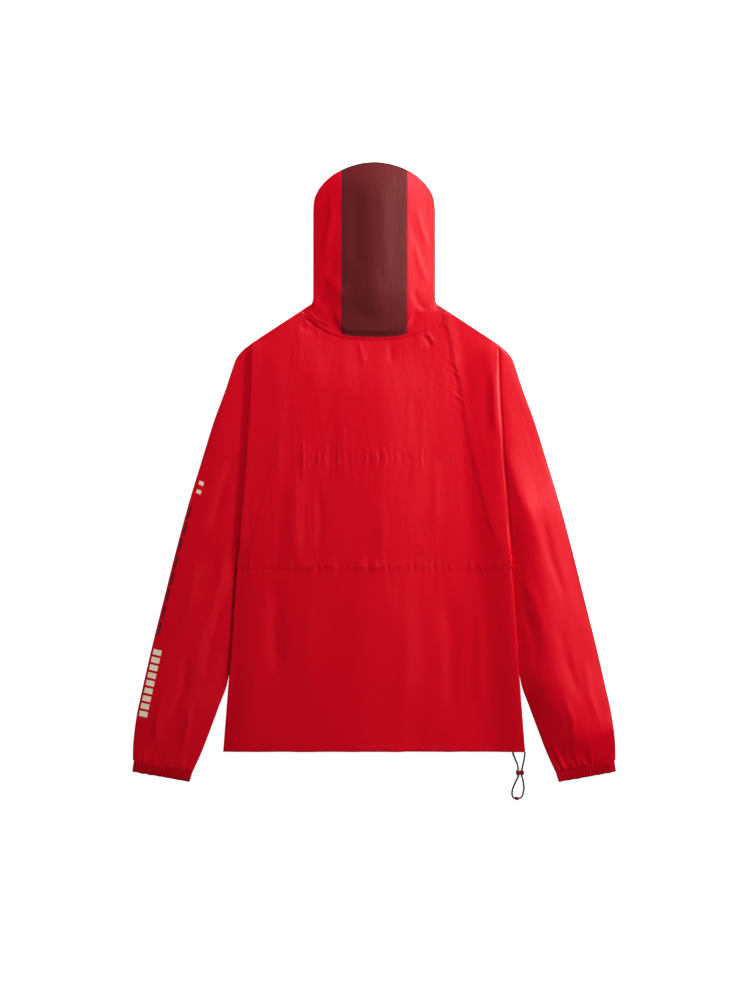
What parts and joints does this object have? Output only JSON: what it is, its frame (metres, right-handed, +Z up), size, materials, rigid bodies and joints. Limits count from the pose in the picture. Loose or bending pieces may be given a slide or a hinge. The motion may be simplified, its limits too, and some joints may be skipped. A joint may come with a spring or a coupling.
{
  "type": "anorak pullover",
  "caption": "Hooded raglan anorak pullover in crinkled nylon, laid flat with its back up, with gathered cuffs and a hem drawcord.",
  "frame": {"origin": "centre of the garment's box, hem cord left out, on the surface it lies on", "axes": "+X across the garment to its right sleeve as seen from above, +Y from the hem to the hood, +Z up out of the surface"},
  "size_m": [0.869, 1.1457, 0.0184],
  "materials": {
    "red_nylon": "crinkled nylon with a soft sheen",
    "maroon_nylon": "crinkled nylon with a soft sheen",
    "cord_elastic": "braided elastic cord",
    "cord_fitting": "satin"
  },
  "bodies": {
    "root": {"hood_side_left": "red_nylon", "hood_side_right": "red_nylon", "back_yoke": "red_nylon", "back_middle": "red_nylon", "back_lower": "red_nylon", "front_panel": "red_nylon", "neck_tape": "red_nylon", "sleeve_left": "red_nylon", "sleeve_right": "red_nylon", "cuff_left": "red_nylon", "cuff_right": "red_nylon", "hood_center_panel": "maroon_nylon", "cord_hem_inner": "cord_elastic", "cord_hem_outer": "cord_elastic", "cord_loop_inner": "cord_elastic", "cord_loop_outer": "cord_elastic", "cord_lock": "cord_fitting", "cord_end": "cord_fitting"}
  },
  "joints": []
}
